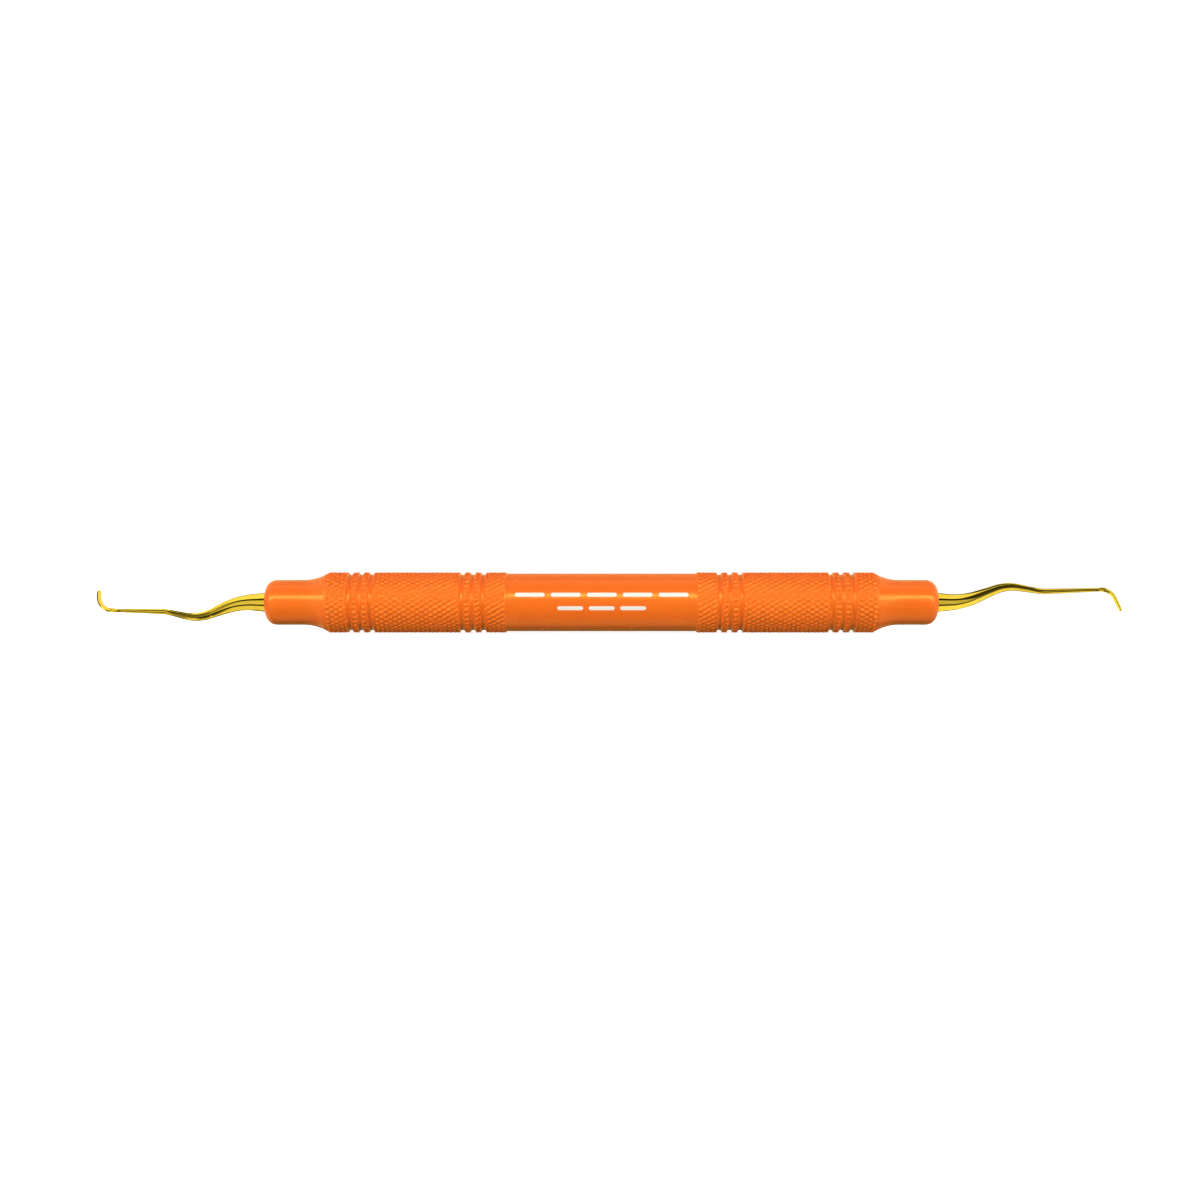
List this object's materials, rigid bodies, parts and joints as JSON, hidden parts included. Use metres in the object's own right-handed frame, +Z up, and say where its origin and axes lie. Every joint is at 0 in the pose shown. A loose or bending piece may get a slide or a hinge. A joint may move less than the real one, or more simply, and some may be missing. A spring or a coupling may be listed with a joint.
{
  "type": "hand scaler",
  "caption": "Double-ended periodontal hand scaler: knurled resin handle with a bent, tapered steel working end bonded into each flared nose.",
  "frame": {"origin": "on the handle's axis, at the middle of the plain barrel", "axes": "+X along the handle towards the right working end, +Z up towards the right end's outer bend, +Y away from the front side with the marking"},
  "size_m": [0.1618, 0.0096, 0.0096],
  "materials": {
    "grip_resin": "satin moulded resin, orange",
    "core_steel": "drawn stainless tube",
    "bushing_steel": "turned stainless steel",
    "coated_steel": "polished stainless steel with a gold-coloured nitride coating",
    "adhesive": "cured epoxy"
  },
  "bodies": {
    "root": {"grip": "grip_resin", "core_tube": "core_steel", "bushing_left": "bushing_steel", "bushing_right": "bushing_steel", "working_end_left": "coated_steel", "working_end_right": "coated_steel", "adhesive_seal_left": "adhesive", "adhesive_seal_right": "adhesive"}
  },
  "joints": []
}
